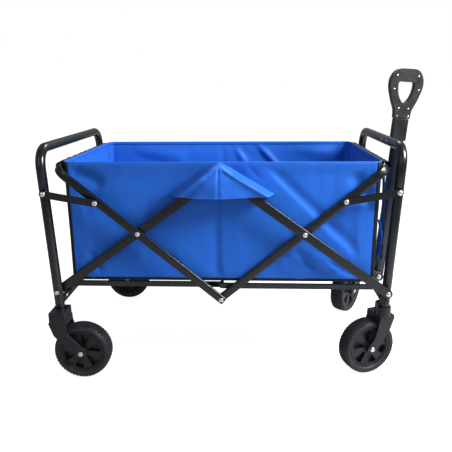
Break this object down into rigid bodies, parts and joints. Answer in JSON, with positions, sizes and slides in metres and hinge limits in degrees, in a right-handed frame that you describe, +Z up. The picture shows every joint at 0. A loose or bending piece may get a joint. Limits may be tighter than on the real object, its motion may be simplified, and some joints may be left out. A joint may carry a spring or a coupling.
{
  "type": "folding wagon with pull handle",
  "caption": "Folding wagon with an open fabric tub on a scissor frame, small wheels, swivelling front casters and a telescoping pull handle with a loop grip.",
  "frame": {"origin": "on the ground, under the middle of the overall length and width, wagon open and handle up", "axes": "+X forwards to the pull handle, +Y away from the side facing the viewer, +Z up"},
  "size_m": [0.9966, 0.609, 0.7896],
  "materials": {
    "black_paint": "satin black powder coat",
    "black_plastic": "moulded matte black",
    "tyre_rubber": "matte rubber-like",
    "zinc": "bright zinc",
    "blue_fabric": "woven, coated"
  },
  "bodies": {
    "rear_frame": {"rear_bow": "black_paint", "rear_lower_crossbar": "black_paint", "rear_fork_near": "black_plastic", "rear_fork_far": "black_plastic", "rear_axle_bolt_near": "zinc", "rear_axle_bolt_far": "zinc", "rear_low_rivet_near": "zinc", "rear_low_rivet_far": "zinc", "fabric_tub": "blue_fabric", "floor_mat": "blue_fabric"},
    "rear_cross_bars": {"rear_cross_bar_near": "black_paint", "rear_cross_bar_far": "black_paint", "rear_crossing_rivet_near": "zinc", "rear_crossing_rivet_far": "zinc", "top_rivet_near": "zinc", "top_rivet_far": "zinc"},
    "rear_loop": {"rear_loop": "black_paint", "bottom_rivet_near": "zinc", "bottom_rivet_far": "zinc"},
    "front_loop": {"front_loop": "black_paint", "front_crossing_rivet_near": "zinc", "front_crossing_rivet_far": "zinc"},
    "front_cross_bars": {"front_cross_bar_near": "black_paint", "front_cross_bar_far": "black_paint"},
    "front_frame": {"front_bow": "black_paint", "front_lower_crossbar": "black_paint", "caster_cup_near": "black_plastic", "caster_cup_far": "black_plastic", "handle_bracket": "black_paint", "handle_pivot_pin": "zinc", "front_low_rivet_near": "zinc", "front_low_rivet_far": "zinc"},
    "rear_links": {"rear_link_near": "black_paint", "rear_link_far": "black_paint"},
    "front_links": {"front_link_near": "black_paint", "front_link_far": "black_paint"},
    "rear_floor_bars": {"rear_floor_bar_near": "black_paint", "rear_floor_bar_far": "black_paint", "floor_hinge_rod": "black_paint"},
    "front_floor_bars": {"front_floor_bar_near": "black_paint", "front_floor_bar_far": "black_paint"},
    "handle_lower": {"handle_outer_tube": "black_paint", "handle_collar": "black_plastic"},
    "handle_upper": {"handle_inner_tube": "black_paint", "grip_shell_near": "black_plastic", "grip_shell_far": "black_plastic"},
    "release_button": {"grip_button": "black_plastic"},
    "caster_near": {"caster_fork_near": "black_plastic", "front_axle_bolt_near": "zinc"},
    "caster_far": {"caster_fork_far": "black_plastic", "front_axle_bolt_far": "zinc"},
    "rear_wheel_near": {"rear_near_tyre": "tyre_rubber", "rear_near_rim": "black_plastic"},
    "rear_wheel_far": {"rear_far_tyre": "tyre_rubber", "rear_far_rim": "black_plastic"},
    "front_wheel_near": {"front_near_tyre": "tyre_rubber", "front_near_rim": "black_plastic"},
    "front_wheel_far": {"front_far_tyre": "tyre_rubber", "front_far_rim": "black_plastic"}
  },
  "joints": [
    {"name": "fold", "type": "hinge", "parent": "rear_frame", "child": "rear_cross_bars", "pos_m": [-0.47053, 0, 0.2331], "axis": [0, -1, 0], "range_deg": [0, 39.5], "deforming": ["fabric_tub", "floor_mat"]},
    {"name": "rear_loop_at_crossing", "type": "hinge", "parent": "rear_cross_bars", "child": "rear_loop", "pos_m": [-0.25493, 0, 0.3889], "axis": [0, -1, 0], "range_deg": [-75.8, 0]},
    {"name": "loops_at_bottom", "type": "hinge", "parent": "rear_loop", "child": "front_loop", "pos_m": [-0.04473, 0, 0.2131], "axis": [0, -1, 0], "range_deg": [0, 72.54]},
    {"name": "front_crossing", "type": "hinge", "parent": "front_loop", "child": "front_cross_bars", "pos_m": [0.16547, 0, 0.3889], "axis": [0, -1, 0], "range_deg": [-75.8, 0]},
    {"name": "front_low_pivot", "type": "hinge", "parent": "front_cross_bars", "child": "front_frame", "pos_m": [0.38107, 0, 0.2331], "axis": [0, -1, 0], "range_deg": [0, 39.55]},
    {"name": "rear_link_pivot", "type": "hinge", "parent": "rear_frame", "child": "rear_links", "pos_m": [-0.48151, 0, 0.4944], "axis": [0, -1, 0], "range_deg": [0, 78.81]},
    {"name": "front_link_pivot", "type": "hinge", "parent": "front_frame", "child": "front_links", "pos_m": [0.39204, 0, 0.4944], "axis": [0, -1, 0], "range_deg": [-78.81, 0]},
    {"name": "rear_floor_pivot", "type": "hinge", "parent": "rear_frame", "child": "rear_floor_bars", "pos_m": [-0.44473, 0, 0.2415], "axis": [0, -1, 0], "range_deg": [0, 74.53]},
    {"name": "front_floor_pivot", "type": "hinge", "parent": "front_frame", "child": "front_floor_bars", "pos_m": [0.35527, 0, 0.2415], "axis": [0, -1, 0], "range_deg": [-74.53, 0]},
    {"name": "handle_hinge", "type": "hinge", "parent": "front_frame", "child": "handle_lower", "pos_m": [0.41427, 0, 0.1915], "axis": [0, 1, 0], "range_deg": [0, 90]},
    {"name": "handle_slide", "type": "slide", "parent": "handle_lower", "child": "handle_upper", "axis": [0.0715, 0, 0.9974], "range_m": [0, 0.28]},
    {"name": "button_press", "type": "slide", "parent": "handle_upper", "child": "release_button", "axis": [-0.0715, 0, -0.9974], "range_m": [0, 0.0035], "stiffness_N_per_m": 400},
    {"name": "caster_swivel_near", "type": "hinge", "parent": "front_frame", "child": "caster_near", "pos_m": [0.37877, -0.2085, 0.1685], "axis": [0, 0, 1], "continuous": true},
    {"name": "front_wheel_spin_near", "type": "hinge", "parent": "caster_near", "child": "front_wheel_near", "pos_m": [0.34075, -0.22386, 0.0745], "axis": [-0.3746, 0.9272, 0], "continuous": true},
    {"name": "rear_wheel_spin_near", "type": "hinge", "parent": "rear_frame", "child": "rear_wheel_near", "pos_m": [-0.41173, -0.27, 0.0745], "axis": [0, 1, 0], "continuous": true},
    {"name": "caster_swivel_far", "type": "hinge", "parent": "front_frame", "child": "caster_far", "pos_m": [0.37877, 0.2085, 0.1685], "axis": [0, 0, 1], "continuous": true},
    {"name": "front_wheel_spin_far", "type": "hinge", "parent": "caster_far", "child": "front_wheel_far", "pos_m": [0.35525, 0.17491, 0.0745], "axis": [-0.8192, 0.5736, 0], "continuous": true},
    {"name": "rear_wheel_spin_far", "type": "hinge", "parent": "rear_frame", "child": "rear_wheel_far", "pos_m": [-0.41173, 0.27, 0.0745], "axis": [0, 1, 0], "continuous": true}
  ],
  "couplings": [
    {"joint": "rear_loop_at_crossing", "follows": "fold", "ratio": -1.9176},
    {"joint": "loops_at_bottom", "follows": "fold", "ratio": 1.8353},
    {"joint": "front_crossing", "follows": "fold", "ratio": -1.9176},
    {"joint": "front_low_pivot", "follows": "fold", "ratio": 1},
    {"joint": "rear_link_pivot", "follows": "fold", "ratio": 1.994},
    {"joint": "front_link_pivot", "follows": "fold", "ratio": -1.994},
    {"joint": "rear_floor_pivot", "follows": "fold", "ratio": 1.8855},
    {"joint": "front_floor_pivot", "follows": "fold", "ratio": -1.8855}
  ]
}
